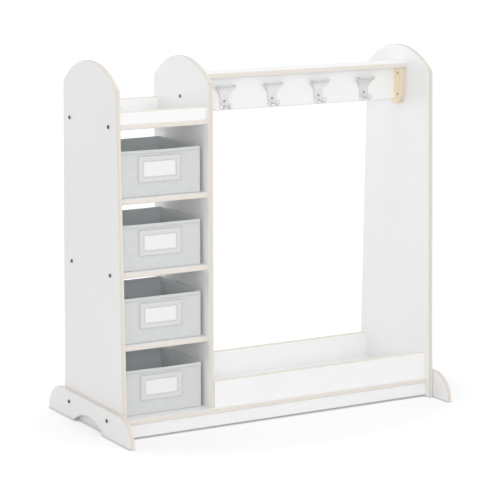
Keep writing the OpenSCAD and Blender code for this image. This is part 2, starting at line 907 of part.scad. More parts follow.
left_side_panel();
middle_panel();
right_side_panel();
left_foot();
right_foot();
base_board();
front_kick_plate();
rear_kick_plate();
front_lip();
back_lip();
lower_shelf();
centre_shelf();
upper_shelf();
tray_shelf();
tray_front_rail();
tray_back_rail();
hat_shelf();
hook_rail();
rail_cleat();
hook_1();
hook_2();
hook_3();
hook_4();
hook_screws();
cleat_screws();
rail_end_screws();
left_panel_bolts();
middle_panel_bolts();
middle_panel_base_bolts();
rail_bolt();
foot_bolts();
barrel_nuts();
shelf_dowels();
lip_dowels();
kick_plate_dowels();
tray_rail_dowels();
hat_shelf_dowels();
dress_mirror();
mirror_pads();
for (k = [1:bin_n]) {
    bin_body(k);
    bin_lining(k);
    bin_insert(k);
    bin_label_pocket(k);
    bin_card(k);
}
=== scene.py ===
# %% [markdown]
# # A dress-up storage unit
# The unit is a child's open wardrobe made of white boards. Its cut edges show the layers of
# birch plywood under the white skin. A column of fabric bins stands on the left, a rail with
# four cast coat hooks hangs on the right, and two arched feet hold it upright. The packed
# solids give every size and place. This script dresses them: it rounds the boards' edges,
# sews the bins, casts the hooks, and lights the whole as a catalogue picture does.

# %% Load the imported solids
import math

import bmesh
import bpy
from mathutils import Matrix, Vector, noise


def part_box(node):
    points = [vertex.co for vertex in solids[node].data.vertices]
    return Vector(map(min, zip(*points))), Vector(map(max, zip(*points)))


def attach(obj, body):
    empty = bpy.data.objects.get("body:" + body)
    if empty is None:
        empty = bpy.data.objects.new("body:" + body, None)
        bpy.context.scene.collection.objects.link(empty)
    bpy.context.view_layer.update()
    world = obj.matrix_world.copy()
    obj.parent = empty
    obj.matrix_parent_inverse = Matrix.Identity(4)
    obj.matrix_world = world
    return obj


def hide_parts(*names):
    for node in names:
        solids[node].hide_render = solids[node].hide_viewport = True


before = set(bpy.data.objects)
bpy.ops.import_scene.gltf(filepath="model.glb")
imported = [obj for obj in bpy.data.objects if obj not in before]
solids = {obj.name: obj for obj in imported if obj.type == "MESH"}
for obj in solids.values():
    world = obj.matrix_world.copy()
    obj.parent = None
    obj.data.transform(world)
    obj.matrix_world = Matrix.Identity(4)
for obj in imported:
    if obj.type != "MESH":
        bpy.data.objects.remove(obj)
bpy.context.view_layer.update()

# %% [markdown]
# ## The camera
# The picture was taken from the left, a little above the tray, with a long lens: upright
# lines stay nearly parallel. The camera stands about six metres away and turns 29.7 degrees
# to the right. It could be aimed with a tracking constraint, but three plain angles are
# easier to check.

# %% Camera
TURN, DOWN = math.radians(29.70), math.radians(10.59)


def stand(name, data):
    """Put an object with this data into the scene."""
    made = bpy.data.objects.new(name, data)
    bpy.context.scene.collection.objects.link(made)
    return made


camera_data = bpy.data.cameras.new("camera")
camera_data.lens, camera_data.sensor_width = 152.37, 36.0
camera = stand("camera", camera_data)
camera.location = (-2.9089, -5.0924, 1.5454)
camera.rotation_euler = (math.pi / 2 - DOWN, 0.0, -TURN)
bpy.context.scene.camera = camera
bpy.context.scene.view_settings.view_transform = "Standard"
print("camera stands", round(camera.location.length, 2), "m from the frame's origin")

# %% [markdown]
# ## A short way to write materials
# Every finish here is a small tree of nodes. One helper adds a node, sets its options, and
# feeds each input with a number or with another node's output, so that a finish reads from
# top to bottom like a recipe.

# %% Helpers for materials
MM = 0.001


def new_finish(name, **sockets):
    """A material with its constants set on the shader's own sockets."""
    made = bpy.data.materials.new(name)
    made.use_nodes = True
    shader = made.node_tree.nodes["Principled BSDF"]
    for socket, value in sockets.items():
        shader.inputs[socket.replace("_", " ")].default_value = value
    return made, made.node_tree, shader


def put(tree, kind, feeds=(), **options):
    """Add a node; feeds maps its inputs to numbers or to other nodes' outputs."""
    made = tree.nodes.new("ShaderNode" + kind)
    for option, value in options.items():
        setattr(made, option, value)
    for socket, value in dict(feeds).items():
        if isinstance(value, bpy.types.NodeSocket):
            tree.links.new(value, made.inputs[socket])
        else:
            made.inputs[socket].default_value = value
    return made


def calc(tree, operation, *values):
    """One sum on numbers or outputs."""
    return put(tree, "Math", dict(enumerate(values)), operation=operation).outputs[0]


def blend_colour(tree, share, first, second, how="MIX"):
    """Two colours mixed by share."""
    made = put(tree, "Mix", {0: share, 6: first, 7: second}, data_type="RGBA", blend_type=how)
    return made.outputs[2]


def remap(tree, value, low, high, to_low=0.0, to_high=1.0):
    """Stretch one range of a value over another, and clamp it."""
    feeds = {"Value": value, 1: low, 2: high, 3: to_low, 4: to_high}
    return put(tree, "MapRange", feeds).outputs[0]


def speckle(tree, place, scale, detail=2.0, roughness=0.5):
    """Soft noise at a place, from 0 to 1."""
    feeds = {"Vector": place, "Scale": scale, "Detail": detail, "Roughness": roughness}
    return put(tree, "TexNoise", feeds).outputs[0]


def relief(tree, shader, height, depth):
    """Raise the surface by height, up to depth metres."""
    bump = put(tree, "Bump", {"Height": height, "Distance": depth})
    tree.links.new(bump.outputs[0], shader.inputs["Normal"])


def neutral(tree, level):
    """A grey whose brightness is another node's output."""
    return put(tree, "CombineXYZ", {0: level, 1: level, 2: level}).outputs[0]


# %% [markdown]
# ## White boards with birch edges
# On the real unit a thin white skin is pressed on both faces of 15 mm birch plywood. The
# edges are cut through, rounded over and lacquered, so they show eleven thin layers that run
# in turn along and across the edge. Two separate materials for face and edge would meet in a
# hard line. Instead each board carries one value, through, that runs from 0 at one face to 1
# at the other. The material is then solid: the rounded edge cuts into its layers just as a
# router does. The edges of the upright boards also get a band of painted shade, a third of
# the way through, added to match the picture. It stands in for the light that falls unevenly
# across their rounded edges.

# %% Finish of the boards
PLIES = 11
BOARD = 15.0            # thickness in millimetres
# Where the band of painted shade sits on the upright boards' edges.
SHADE_BAND = 0.33             # place of the darker band, as a share of the thickness
PALE_PLY, DARK_PLY = (0.850, 0.820, 0.768, 1), (0.775, 0.730, 0.665, 1)
PORE, GLUE = (0.50, 0.42, 0.33, 1), (0.52, 0.43, 0.34, 1)


def depth_under_face(tree, through):
    """Depth under the nearer face of a board, in millimetres."""
    middle = calc(tree, "ABSOLUTE", calc(tree, "SUBTRACT", through, 0.5))
    return calc(tree, "MULTIPLY", calc(tree, "SUBTRACT", 0.5, middle), BOARD)


def plywood_layers(tree, through, place):
    """Colour and height of a cut edge's layers, with painted shade on upright boards."""
    layer = calc(tree, "MULTIPLY", through, float(PLIES))
    across = calc(tree, "MODULO", calc(tree, "FLOOR", layer), 2.0)
    in_ply = calc(tree, "SUBTRACT", calc(tree, "FRACT", layer), 0.5)
    glue = remap(tree, calc(tree, "ABSOLUTE", in_ply), 0.43, 0.49)
    feeds = {"Vector": place, "W": calc(tree, "MULTIPLY", through, 95.0), "Scale": 70.0,
             "Detail": 3.0}
    fine = put(tree, "TexNoise", feeds, noise_dimensions="4D").outputs[0]
    pores = remap(tree, speckle(tree, place, 1400.0, 1.0), 0.58, 0.72)
    wood = blend_colour(tree, across, PALE_PLY, DARK_PLY)
    streaks = neutral(tree, remap(tree, fine, 0.3, 0.7, 0.90, 1.06))
    wood = blend_colour(tree, 1.0, wood, streaks, "MULTIPLY")
    dark_pores = calc(tree, "MULTIPLY", pores, calc(tree, "MULTIPLY", across, 0.35))
    wood = blend_colour(tree, dark_pores, wood, PORE)
    wood = blend_colour(tree, calc(tree, "MULTIPLY", glue, 0.55), wood, GLUE)
    # Painted shade: the upright boards' edges darken in a band a third of the way through, for
    # uneven light on the rounded edge.
    off_shade_band = calc(tree, "ABSOLUTE", calc(tree, "SUBTRACT", through, SHADE_BAND))
    upright = put(tree, "Attribute", attribute_name="upright").outputs["Fac"]
    painted_shade = calc(tree, "MULTIPLY", remap(tree, off_shade_band, 0.08, 0.27, 1.0, 0.0), upright)
    wood = blend_colour(tree, painted_shade, wood, (0.90, 0.88, 0.86, 1), "MULTIPLY")
    height = calc(tree, "SUBTRACT", fine, calc(tree, "MULTIPLY", glue, 0.6))
    return wood, height


def white_board():
    """White skin over the faces, and bare plies wherever an edge is cut."""
    made, tree, shader = new_finish("white laminate on birch plywood", IOR=1.46)
    through = put(tree, "Attribute", attribute_name="through").outputs["Fac"]
    place = put(tree, "TexCoord").outputs["Object"]
    bare = remap(tree, depth_under_face(tree, through), 0.40, 0.55)
    wood, wood_height = plywood_layers(tree, through, place)
    cloudy = remap(tree, speckle(tree, place, 6.0), 0.3, 0.7, 0.893, 0.907)
    colour = blend_colour(tree, bare, neutral(tree, cloudy), wood)
    tree.links.new(colour, shader.inputs["Base Color"])
    pearl = speckle(tree, place, 900.0, 2.0)
    skin_gloss = remap(tree, speckle(tree, place, 35.0, 3.0), 0.3, 0.7, 0.36, 0.44)
    gloss = calc(tree, "ADD", skin_gloss, calc(tree, "MULTIPLY", bare, 0.12))
    tree.links.new(gloss, shader.inputs["Roughness"])
    skin_height = calc(tree, "MULTIPLY", pearl, 0.25)
    height = put(tree, "Mix", {0: bare, 2: skin_height, 3: wood_height}).outputs[0]
    relief(tree, shader, height, 0.08 * MM)
    return made


board_finish = white_board()
print("board finish:", len(board_finish.node_tree.nodes), "nodes,", PLIES, "plies")

# %% [markdown]
# The cleat at the rail's right end is the one piece of bare wood. Its face shows the birch
# veneer, with its grain standing upright, and its edges show the same layers as the boards.

# %% Finish of bare birch
X, Y, Z = 0, 1, 2


def bare_birch(name, grain_axis):
    """Birch veneer with its grain along one axis, and plywood layers on cut edges."""
    made, tree, shader = new_finish(name, Roughness=0.52)
    place = put(tree, "TexCoord").outputs["Object"]
    stretch = [150.0, 150.0, 150.0]
    stretch[grain_axis] = 9.0
    along = put(tree, "Mapping", {"Vector": place, "Scale": stretch}).outputs[0]
    figure = speckle(tree, along, 1.0, 5.0, 0.6)
    fibres = speckle(tree, along, 9.0, 2.0)
    tone = put(tree, "ValToRGB", {0: figure})
    tone.color_ramp.elements[0].position, tone.color_ramp.elements[1].position = 0.32, 0.70
    tone.color_ramp.elements[0].color = (0.90, 0.75, 0.53, 1)
    tone.color_ramp.elements[1].color = (0.97, 0.86, 0.66, 1)
    fibre_tone = neutral(tree, remap(tree, fibres, 0.35, 0.65, 0.93, 1.03))
    veneer = blend_colour(tree, 1.0, tone.outputs[0], fibre_tone, "MULTIPLY")
    through = put(tree, "Attribute", attribute_name="through").outputs["Fac"]
    bare = remap(tree, depth_under_face(tree, through), 0.6, 0.9)
    wood, wood_height = plywood_layers(tree, through, place)
    wood = blend_colour(tree, 1.0, wood, (1.0, 0.94, 0.84, 1), "MULTIPLY")
    tree.links.new(blend_colour(tree, bare, veneer, wood), shader.inputs["Base Color"])
    height = put(tree, "Mix", {0: bare, 2: fibres, 3: wood_height}).outputs[0]
    relief(tree, shader, height, 0.06 * MM)
    return made


cleat_finish = bare_birch("bare birch plywood", Z)
dowel_finish = bare_birch("birch dowel", X)
print("birch finishes:", cleat_finish.name, "and", dowel_finish.name)

# %% [markdown]
# ## Rounding over the boards
# A sharp computer edge is the first thing that gives a rendered board away. A maker runs a
# small round-over bit along every edge that stays open to the hand, and leaves the edges that
# close a joint square. The rims that stand on the floor are rounded too, since the picture
# shows a thin dark line under them. A bevel modifier would round every edge, so the script
# copies each board's mesh, picks its open edges by their direction and place, and rounds only
# those. Bores keep their sharp rims.

# %% Copy a solid and round some of its edges
SHORTEST = 3 * MM          # shorter edges along X are parts of a bore's rim
MERGE = 0.01 * MM          # points closer than this are one point
HAIR = 0.1 * MM            # slack for telling whether a point lies in a plane
CORNER_ANGLE = math.radians(40)


def wide_groups(edges, least):
    """Those edges whose joined-up groups span more than least; a bore's rim spans less."""
    left, kept = set(edges), []
    while left:
        group, ends = set(), [left.pop()]
        while ends:
            edge = ends.pop()
            group.add(edge)
            near = {e for v in edge.verts for e in v.link_edges} & left
            left -= near
            ends.extend(near)
        places = [v.co for e in group for v in e.verts]
        spans = [max(p[a] for p in places) - min(p[a] for p in places) for a in range(3)]
        if max(spans) > least:
            kept.extend(group)
    return kept


def stand_mesh(name, work, sharp=None):
    """Put a finished bmesh into the scene, smooth but for edges over the angle sharp."""
    bmesh.ops.recalc_face_normals(work, faces=work.faces)
    mesh = bpy.data.meshes.new(name)
    work.to_mesh(mesh)
    work.free()
    mesh.shade_smooth()
    if sharp:
        mesh.set_sharp_from_angle(angle=sharp)
    return stand(name, mesh)


def eased_copy(node, name, radius, open_edge, steps=6, least=0.0):
    """A copy of a solid's mesh with its chosen edges rounded over."""
    work = bmesh.new()
    work.from_mesh(solids[node].data)
    bmesh.ops.remove_doubles(work, verts=work.verts, dist=MERGE)
    flat = math.radians(0.5)
    bmesh.ops.dissolve_limit(work, angle_limit=flat, verts=work.verts, edges=work.edges)
    picked = [e for e in work.edges if len(e.link_faces) == 2
              and e.calc_face_angle_signed(0.0) > CORNER_ANGLE and open_edge(e)]
    order = {edge: place for place, edge in enumerate(work.edges)}
    picked = sorted(wide_groups(picked, least), key=order.get)
    bmesh.ops.bevel(work, geom=picked, offset=radius, offset_type="OFFSET", segments=steps,
                    profile=0.5, affect="EDGES", clamp_overlap=False)
    made = stand_mesh(name, work, math.radians(42))
    even = made.modifiers.new("even shading", "WEIGHTED_NORMAL")
    even.keep_sharp, even.weight = True, 100
    return made


def measure_through(made, node, axis):
    """Give each point its place between the board's faces, from 0 to 1; mark upright boards."""
    low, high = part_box(node)
    mesh = made.data
    upright = mesh.attributes.new("upright", "FLOAT", "POINT")
    upright.data.foreach_set("value", [float(axis == X)] * len(mesh.vertices))
    through = mesh.attributes.new("through", "FLOAT", "POINT")
    span = high[axis] - low[axis]
    through.data.foreach_set("value", [(v.co[axis] - low[axis]) / span for v in mesh.vertices])


def settle(made, finish, body, slot, *stands_for):
    """Give a piece its finish, its body, and the solids that it stands for."""
    made.data.materials.clear()
    made.data.materials.append(finish)
    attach(made, body)
    if stands_for:
        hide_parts(*stands_for)


def runs_along_x(edge):
    """Whether an edge is a long one, from left to right."""
    way = (edge.verts[1].co - edge.verts[0].co).normalized()
    return abs(way.x) > 0.99 and edge.calc_length() > SHORTEST


def bounds_a_face(axis, above=-1.0):
    """Picks the edges between a board's broad face and its rim, above a height."""
    def picked(edge):
        across = sorted(abs(f.normal[axis]) for f in edge.link_faces)
        joined = all(v.co.z < above + HAIR for v in edge.verts)
        return across[0] < 0.02 and across[1] > 0.98 and not joined
    return picked


# %% Round over the white boards
EASE, TOP_EASE, KICK_EASE, CLEAT_EASE = 4.0 * MM, 6.0 * MM, 1.0 * MM, 3.0 * MM
BORE = 20.0 * MM           # groups of edges that span less are the rims of bores


def upper_x(edge):
    """The long edges on top of a board that stands on its edge."""
    return runs_along_x(edge) and sum(f.normal.z for f in edge.link_faces) > 0.9


def lower_x(edge):
    """The long edges under such a board."""
    return runs_along_x(edge) and sum(f.normal.z for f in edge.link_faces) < -0.9


back_rail_low, back_rail_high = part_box("tray_back_rail")


def clear_of_back_rail(edge):
    """The tray shelf's edges, but for the one that the back rail is flush with."""
    covered = all(v.co.y > back_rail_high.y - HAIR and v.co.z > back_rail_low.z - HAIR
                  for v in edge.verts)
    return runs_along_x(edge) and not covered


all_round = bounds_a_face(X)
above_base = bounds_a_face(X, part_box("middle_panel")[0].z)
boards = {
    "left_side_panel": (X, all_round, EASE), "middle_panel": (X, above_base, EASE),
    "right_side_panel": (X, all_round, EASE), "left_foot": (X, all_round, EASE),
    "right_foot": (X, all_round, EASE), "base_board": (Z, runs_along_x, EASE),
    "front_kick_plate": (Y, lower_x, KICK_EASE), "rear_kick_plate": (Y, lower_x, KICK_EASE),
    "front_lip": (Y, upper_x, TOP_EASE), "back_lip": (Y, upper_x, TOP_EASE),
    "lower_shelf": (Z, runs_along_x, EASE), "centre_shelf": (Z, runs_along_x, EASE),
    "upper_shelf": (Z, runs_along_x, EASE), "tray_shelf": (Z, clear_of_back_rail, EASE),
    "tray_front_rail": (Y, upper_x, TOP_EASE), "tray_back_rail": (Y, upper_x, TOP_EASE),
    "hat_shelf": (Z, runs_along_x, EASE), "hook_rail": (Y, lower_x, EASE),
}
for board, (axis, open_edge, radius) in boards.items():
    made = eased_copy(board, board + "_eased", radius, open_edge, least=BORE)
    measure_through(made, board, axis)
    settle(made, board_finish, "unit", "white_ply", board)
    print(board, len(made.data.polygons), "faces")

cleat = eased_copy("rail_cleat", "rail_cleat_eased", CLEAT_EASE, all_round, least=BORE)
measure_through(cleat, "rail_cleat", X)
settle(cleat, cleat_finish, "unit", "birch", "rail_cleat")
print("cleat:", len(cleat.data.polygons), "faces")

# %% [markdown]
# ## Bolts and screws
# The unit is a flat-pack: black bolts with hex sockets pull the boards together, and grey
# screws with a cross recess hold the hooks and the cleat. Heads this small are often left as
# plain discs. Their broken rims and recesses catch the light in a close view, so they are
# bevelled, and the crosses are cut with a boolean.

# %% Finishes of metal
def metal(name, colour, low_gloss, high_gloss, grain, depth):
    """A metal whose roughness varies a little, with a fine grain."""
    made, tree, shader = new_finish(name, Metallic=1.0)
    place = put(tree, "TexCoord").outputs["Object"]
    clouds = speckle(tree, place, 180.0, 3.0)
    dull = tuple(0.86 * c for c in colour[:3]) + (1.0,)
    tone = blend_colour(tree, remap(tree, clouds, 0.3, 0.7), colour, dull)
    tree.links.new(tone, shader.inputs["Base Color"])
    gloss = remap(tree, clouds, 0.3, 0.7, low_gloss, high_gloss)
    tree.links.new(gloss, shader.inputs["Roughness"])
    relief(tree, shader, speckle(tree, place, grain, 2.0), depth)
    return made


# Each has a colour, its least and greatest roughness, and the scale and depth of its grain.
# The three steels were set apart to match the picture. The rail's bolt looks like a screw there.
black_finish = metal("black oxide steel", (0.150, 0.150, 0.155, 1), 0.38, 0.5, 2500.0, 0.03 * MM)
screw_finish = metal("grey phosphate steel", (0.32, 0.32, 0.325, 1), 0.4, 0.5, 2500.0, 0.03 * MM)
hook_screw_finish = metal("pale phosphate steel", (0.42, 0.42, 0.425, 1), 0.4, 0.5, 2500.0,
                          0.03 * MM)
zinc_finish = metal("zinc plate", (0.62, 0.63, 0.63, 1), 0.28, 0.4, 1500.0, 0.02 * MM)
nickel_finish = metal("satin nickel", (0.77, 0.77, 0.76, 1), 0.29, 0.36, 900.0, 0.03 * MM)
print("metals:", black_finish.name, zinc_finish.name, nickel_finish.name)


# %% Bevel the bolt heads and cut the cross recesses
def at_side(axis, *places):
    """Picks the edges that lie in one of these planes."""
    def picked(edge):
        return any(all(abs(v.co[axis] - p) < MERGE for v in edge.verts) for p in places)
    return picked


def outer_plane(node, axis, side):
    """Where a node's box ends along an axis, on its low (0) or high (1) side."""
    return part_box(node)[side][axis]


BROKEN_RIM = 0.3 * MM
bolt_faces = {
    "left_panel_bolts": (X, outer_plane("left_panel_bolts", X, 0)),
    "middle_panel_bolts": (X, outer_plane("middle_panel_bolts", X, 1)),
    "rail_bolt": (X, outer_plane("rail_bolt", X, 0)),
    "middle_panel_base_bolts": (Z, outer_plane("middle_panel_base_bolts", Z, 0)),
    "foot_bolts": (X, outer_plane("foot_bolts", X, 0), outer_plane("foot_bolts", X, 1)),
}
for bolt, (axis, *places) in bolt_faces.items():
    made = eased_copy(bolt, bolt + "_broken_rims", BROKEN_RIM, at_side(axis, *places), 2)
    finish = screw_finish if bolt == "rail_bolt" else black_finish
    settle(made, finish, "unit", "black_steel", bolt)
    print(bolt, len(made.data.polygons), "faces")


def islands(mesh):
    """The low and high corner of each loose part of a mesh."""
    work = bmesh.new()
    work.from_mesh(mesh)
    bmesh.ops.remove_doubles(work, verts=work.verts, dist=MERGE)
    left, found = set(work.verts), []
    while left:
        group, ends = set(), [left.pop()]
        while ends:
            vert = ends.pop()
            group.add(vert)
            near = {e.other_vert(vert) for e in vert.link_edges} & left
            left -= near
            ends.extend(near)
        corners = [[pick(v.co[a] for v in group) for a in range(3)] for pick in (min, max)]
        found.append((Vector(corners[0]), Vector(corners[1])))
    work.free()
    return sorted(found, key=lambda pair: tuple(pair[0]))


def baked_mesh(made):
    """The mesh that a piece's modifiers give."""
    bpy.context.view_layer.update()
    seen = made.evaluated_get(bpy.context.evaluated_depsgraph_get())
    return bpy.data.meshes.new_from_object(seen)


SLOT_WIDTH, SLOT_LENGTH = 0.8 * MM, 3.8 * MM


def cross_recess(node, name, axis, depth):
    """A copy of some screws with a cross cut into each head, at the low end of axis."""
    made = eased_copy(node, name, 0.0, lambda edge: False)
    cutter = bmesh.new()
    for low, high in islands(solids[node].data):
        head = (low + high) / 2
        head[axis] = low[axis]
        for turn in (0, 1):
            size = [SLOT_WIDTH] * 3
            size[axis] = 2 * depth
            size[(axis + 1 + turn) % 3] = SLOT_LENGTH
            spot = Matrix.Translation(head) @ Matrix.Diagonal((*size, 1.0))
            bmesh.ops.create_cube(cutter, size=1.0, matrix=spot)
    cutter_mesh = bpy.data.meshes.new("cutter")
    cutter.to_mesh(cutter_mesh)
    cutter.free()
    cutter_piece = stand("cutter", cutter_mesh)
    made.modifiers.clear()
    cut = made.modifiers.new("cross", "BOOLEAN")
    cut.operation, cut.object, cut.solver, cut.use_self = "DIFFERENCE", cutter_piece, "EXACT", True
    made.data = baked_mesh(made)
    made.modifiers.clear()
    bpy.data.objects.remove(cutter_piece)
    made.data.shade_smooth()
    made.data.set_sharp_from_angle(angle=math.radians(35))
    return made


for screws, axis, recess, finish in (("hook_screws", Y, 1.3, hook_screw_finish),
                                     ("cleat_screws", X, 1.4, screw_finish)):
    made = cross_recess(screws, screws + "_cut", axis, recess * MM)
    settle(made, finish, "unit", "black_steel", screws)
    print(screws, "cut:", len(islands(solids[screws].data)))

# %% [markdown]
# ## Cast coat hooks
# Each hook is poured in one piece: a plate that spreads into a wide yoke, and one lower prong
# with a ball on its end. Cast metal has no sharp edge anywhere. A bevel would struggle where
# the round prong meets the plate, so the solid is wrapped in a fine even skin and then
# smoothed, as tumbling does to a casting. One hook is made and copied along the rail.

# %% Cast the hooks
def tumbled(node, name, grain, rounds):
    """A solid wrapped in small even faces and then smoothed."""
    made = stand(name, solids[node].data.copy())
    skin = made.modifiers.new("skin", "REMESH")
    skin.mode, skin.voxel_size = "VOXEL", grain
    soften = made.modifiers.new("tumbling", "SMOOTH")
    soften.factor, soften.iterations = 0.5, rounds
    made.data = baked_mesh(made)
    made.modifiers.clear()
    made.data.shade_smooth()
    return made


first_hook = tumbled("hook_1", "hook_1_cast", grain=0.65 * MM, rounds=9)
for k in (1, 2, 3, 4):
    if k == 1:
        made = first_hook
    else:
        made = stand(f"hook_{k}_cast", first_hook.data.copy())
        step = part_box(f"hook_{k}")[0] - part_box("hook_1")[0]
        made.data.transform(Matrix.Translation(step))
    settle(made, nickel_finish, "unit", "satin_nickel", f"hook_{k}")
print("each hook:", len(first_hook.data.polygons), "faces")

# %% [markdown]
# ## The inner fittings
# Barrel nuts, dowels and the screws inside the boards only show through their bores. Their
# solids already have the right shape, so they stay and only get a finish.

# %% Finish the solids that stay
def foam():
    """Closed-cell foam tape."""
    made, tree, shader = new_finish("black foam tape", Roughness=0.95)
    place = put(tree, "TexCoord").outputs["Object"]
    cells = put(tree, "TexVoronoi", {"Vector": place, "Scale": 1800.0}).outputs["Distance"]
    shade = remap(tree, cells, 0.0, 0.8, 0.03, 0.06)
    tree.links.new(neutral(tree, shade), shader.inputs["Base Color"])
    relief(tree, shader, cells, 0.15 * MM)
    return made


foam_finish = foam()
staying = {"barrel_nuts": zinc_finish, "rail_end_screws": screw_finish, "mirror_pads": foam_finish}
for dowels in ("shelf", "lip", "kick_plate", "tray_rail", "hat_shelf"):
    staying[dowels + "_dowels"] = dowel_finish
for node, finish in staying.items():
    solids[node].data.materials.clear()
    solids[node].data.materials.append(finish)
print("solids that stay:", sorted(staying))

# %% [markdown]
# ## The mirror
# A sheet of silvered safety glass is taped to the right panel's outer face. Its front edge is
# ground to a narrow slope all round. The silver is a smooth metal, and the ground rim shows
# the glass itself, which is green from the side.

# %% Mirror
def silvered_glass():
    """Silver on the flat front, and green glass on the ground rim and the sides."""
    made, tree, shader = new_finish("silvered glass", Specular_IOR_Level=0.6)
    facing = put(tree, "NewGeometry").outputs["Normal"]
    front = remap(tree, put(tree, "SeparateXYZ", {0: facing}).outputs[0], 0.80, 0.95)
    place = put(tree, "TexCoord").outputs["Object"]
    haze = remap(tree, speckle(tree, place, 9.0, 3.0), 0.3, 0.8, 0.012, 0.035)
    tone = blend_colour(tree, front, (0.34, 0.47, 0.43, 1), (0.90, 0.92, 0.92, 1))
    tree.links.new(tone, shader.inputs["Base Color"])
    tree.links.new(front, shader.inputs["Metallic"])
    rim = calc(tree, "SUBTRACT", 1.0, front)
    gloss = calc(tree, "ADD", haze, calc(tree, "MULTIPLY", rim, 0.12))
    tree.links.new(gloss, shader.inputs["Roughness"])
    return made


GROUND = 1.2 * MM
mirror_front = outer_plane("dress_mirror", X, 1)
mirror = eased_copy("dress_mirror", "dress_mirror_ground", GROUND, at_side(X, mirror_front), 1)
settle(mirror, silvered_glass(), "unit", "mirror", "dress_mirror")
print("mirror:", [round(c, 3) for c in mirror.dimensions])

# %% [markdown]
# ## Cloth for the bins
# The bins are stiffened boxes covered in a pale linen-look cloth. From close by it shows
# single threads, and from a step away the thicker slubs that run along both directions. The
# cloth's pattern follows a flat layout of each panel, in metres, so the threads keep their
# size and turn the corners with the cloth.

# %% Finishes of cloth and card
def woven(name, colour, pitch, slub, depth, sheen):
    """Plain weave in the layout's metres: over-and-under threads, with slubs both ways."""
    made, tree, shader = new_finish(name, Roughness=0.92, Sheen_Weight=sheen, Sheen_Roughness=0.6)
    layout = put(tree, "UVMap", uv_map="cloth").outputs[0]
    sides = put(tree, "SeparateXYZ", {0: layout})
    wander = calc(tree, "MULTIPLY", speckle(tree, layout, 60.0, 2.0), 2.2)
    turn = 2 * math.pi / pitch
    waves = []
    for side in (sides.outputs[0], sides.outputs[1]):
        phase = calc(tree, "ADD", calc(tree, "MULTIPLY", side, turn), wander)
        waves.append(calc(tree, "SINE", phase))
    over = calc(tree, "MULTIPLY", waves[0], waves[1])
    slubs = []
    for stretch in ((38.0, 950.0, 1.0), (950.0, 38.0, 1.0)):
        drawn = put(tree, "Mapping", {"Vector": layout, "Scale": stretch}).outputs[0]
        slubs.append(speckle(tree, drawn, 1.0, 2.0, 0.45))
    both = calc(tree, "ADD", calc(tree, "MULTIPLY", slubs[0], 0.6),
                calc(tree, "MULTIPLY", slubs[1], 0.4))
    tone = remap(tree, both, 0.30, 0.70, 1.0 - slub, 1.0 + slub)
    threads = remap(tree, over, -1.0, 1.0, 0.90, 1.05)
    level = neutral(tree, calc(tree, "MULTIPLY", tone, threads))
    tree.links.new(blend_colour(tree, 1.0, colour, level, "MULTIPLY"), shader.inputs["Base Color"])
    height = calc(tree, "ADD", over, calc(tree, "MULTIPLY", both, 2.0))
    relief(tree, shader, height, depth)
    return made


def paper():
    """White card with faint fibres."""
    made, tree, shader = new_finish("white card", Roughness=0.7)
    place = put(tree, "TexCoord").outputs["Object"]
    fibres = speckle(tree, place, 700.0, 4.0)
    shade = remap(tree, fibres, 0.3, 0.7, 0.832, 0.857)
    tree.links.new(neutral(tree, shade), shader.inputs["Base Color"])
    relief(tree, shader, fibres, 0.03 * MM)
    return made


# Each cloth has a colour, the width of two threads, the slubs' contrast, the depth of the
# weave and its sheen.
linen_finish = woven("pale linen-look cloth", (0.728, 0.745, 0.741, 1), 0.8 * MM, 0.10,
                     0.12 * MM, 0.25)
lining_finish = woven("grey lining", (0.672, 0.707, 0.717, 1), 0.5 * MM, 0.05, 0.06 * MM, 0.15)
pocket_finish = woven("pocket cloth", (0.755, 0.765, 0.760, 1), 0.7 * MM, 0.08, 0.10 * MM, 0.25)
thread_finish = woven("sewing thread", (0.30, 0.31, 0.32, 1), 0.5 * MM, 0.03, 0.05 * MM, 0.2)
card_finish = paper()
print("cloths:", linen_finish.name, lining_finish.name, thread_finish.name)

# %% [markdown]
# ## Sewing a bin
# A bin could be a box with a thickness modifier, but then its walls stay as flat as a crate.
# Here each bin is lofted: rings of points follow the cloth from under the base, up the
# outside, over the hem, and down inside. Every point then moves a little, because the board
# inside the cloth bellies outward half way up and the rim pulls in between its corners. The
# same movement is given to whatever is sewn on.

# %% Helpers for lofting
SIDE_STEPS, CORNER_STEPS = 22, 5


def ring(half_w, half_d, corner):
    """Points round a rounded rectangle, from its front left: (x, y, side, share of side)."""
    points = []
    sides = [((-1, -1), (1, 0)), ((1, -1), (0, 1)), ((1, 1), (-1, 0)), ((-1, 1), (0, -1))]
    for side, (start, way) in enumerate(sides):
        centre = ((half_w - corner) * start[0], (half_d - corner) * start[1])
        first = math.atan2(-way[0], way[1]) - math.pi / 2
        for step in range(CORNER_STEPS):
            a = first + (step / CORNER_STEPS) * math.pi / 2
            points.append((centre[0] + corner * math.cos(a), centre[1] + corner * math.sin(a),
                           side, -1.0))
        run = 2 * ((half_w if way[0] else half_d) - corner)
        a = first + math.pi / 2
        foot = (centre[0] + corner * math.cos(a), centre[1] + corner * math.sin(a))
        for step in range(SIDE_STEPS):
            share = step / SIDE_STEPS
            points.append((foot[0] + way[0] * run * share, foot[1] + way[1] * run * share,
                           side, 2 * share - 1))
    return points


def distances(points, closed=True):
    """Distance run at each point of a line of points, and at its end."""
    runs = [0.0]
    following = points[1:] + points[:1] if closed else points[1:]
    for here, there in zip(points, following):
        runs.append(runs[-1] + math.dist(here, there))
    return runs


